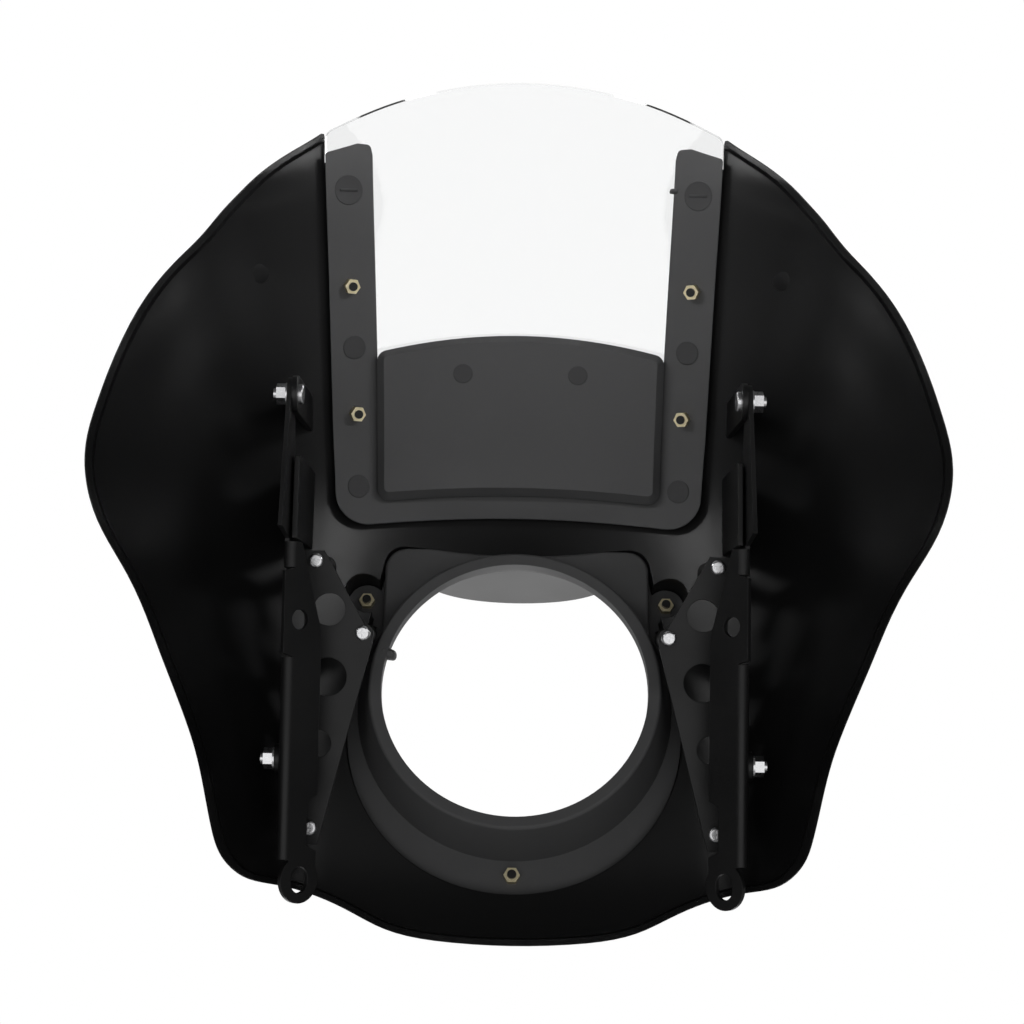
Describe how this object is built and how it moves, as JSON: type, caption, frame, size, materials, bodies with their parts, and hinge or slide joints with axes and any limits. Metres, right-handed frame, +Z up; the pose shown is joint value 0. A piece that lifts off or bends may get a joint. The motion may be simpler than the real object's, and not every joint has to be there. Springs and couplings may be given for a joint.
{
  "type": "headlight cowl",
  "caption": "Motorbike headlight cowl: a black moulded shell with wings, a clear windscreen, a round headlight surround and folded fork brackets.",
  "frame": {"origin": "centre of the lamp bore, at the rear face of the surround's ring", "axes": "+Y forward along the lamp axis, +Z up, +X to the rider's right"},
  "size_m": [0.4552, 0.2246, 0.4729],
  "materials": {
    "shell_plastic": "satin black moulding",
    "clear_screen": "clear polished sheet",
    "retainer_plastic": "matt dark grey moulding",
    "surround_plastic": "matt dark grey moulding",
    "bracket_paint": "black powder coat",
    "bright_steel": "zinc plated",
    "black_screw": "black plated",
    "brass_nut": "plain brass",
    "washer_plastic": "matt black"
  },
  "bodies": {
    "root": {"cowl_shell": "shell_plastic", "windscreen": "clear_screen", "screen_retainer": "retainer_plastic", "headlight_surround": "surround_plastic", "screen_screws": "black_screw", "screen_washers": "washer_plastic", "screen_nuts": "brass_nut", "surround_screws": "black_screw", "surround_nuts": "brass_nut", "left_bracket": "bracket_paint", "left_bracket_screws": "bright_steel", "left_lug_bolts": "bright_steel", "left_lug_washers": "bright_steel", "left_lug_nuts": "bright_steel", "right_bracket": "bracket_paint", "right_bracket_screws": "bright_steel", "right_lug_bolts": "bright_steel", "right_lug_washers": "bright_steel", "right_lug_nuts": "bright_steel"}
  },
  "joints": []
}
